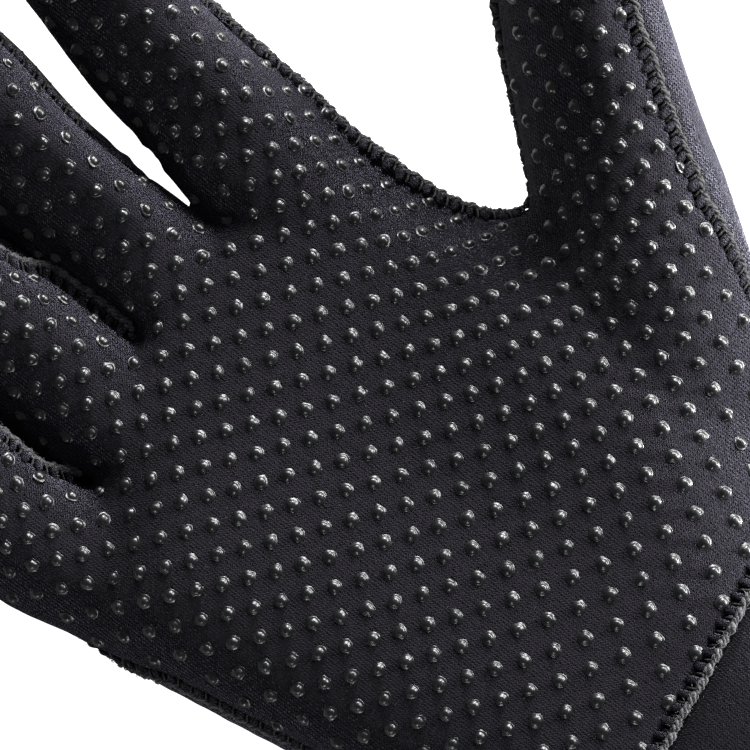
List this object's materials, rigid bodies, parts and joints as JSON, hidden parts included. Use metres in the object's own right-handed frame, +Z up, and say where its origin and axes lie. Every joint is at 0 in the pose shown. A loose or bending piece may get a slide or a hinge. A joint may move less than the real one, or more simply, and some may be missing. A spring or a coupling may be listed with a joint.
{
  "type": "diving glove",
  "caption": "Right-hand neoprene diving glove with a gripping dotted palm, plain back and open cuff, lying palm up.",
  "frame": {"origin": "on the flat back of the hand, level with the middle of the palm, on the surface the glove rests on", "axes": "+Z up out of the palm, +Y along the hand towards the fingertips, +X towards the thumb"},
  "size_m": [0.1692, 0.2608, 0.0461],
  "materials": {
    "grip_neoprene": "fine black jersey over foam, matt, with a violet-grey sheen at the edges",
    "plain_neoprene": "plain black jersey over foam, matt, with a light grey sheen at the edges",
    "grip_dots": "small glossy domes of black silicone",
    "seam_thread": "fuzzy dark grey overlock thread"
  },
  "bodies": {
    "root": {"palm_panel": "grip_neoprene", "cuff_panel": "plain_neoprene", "back_panel": "plain_neoprene"}
  },
  "joints": []
}
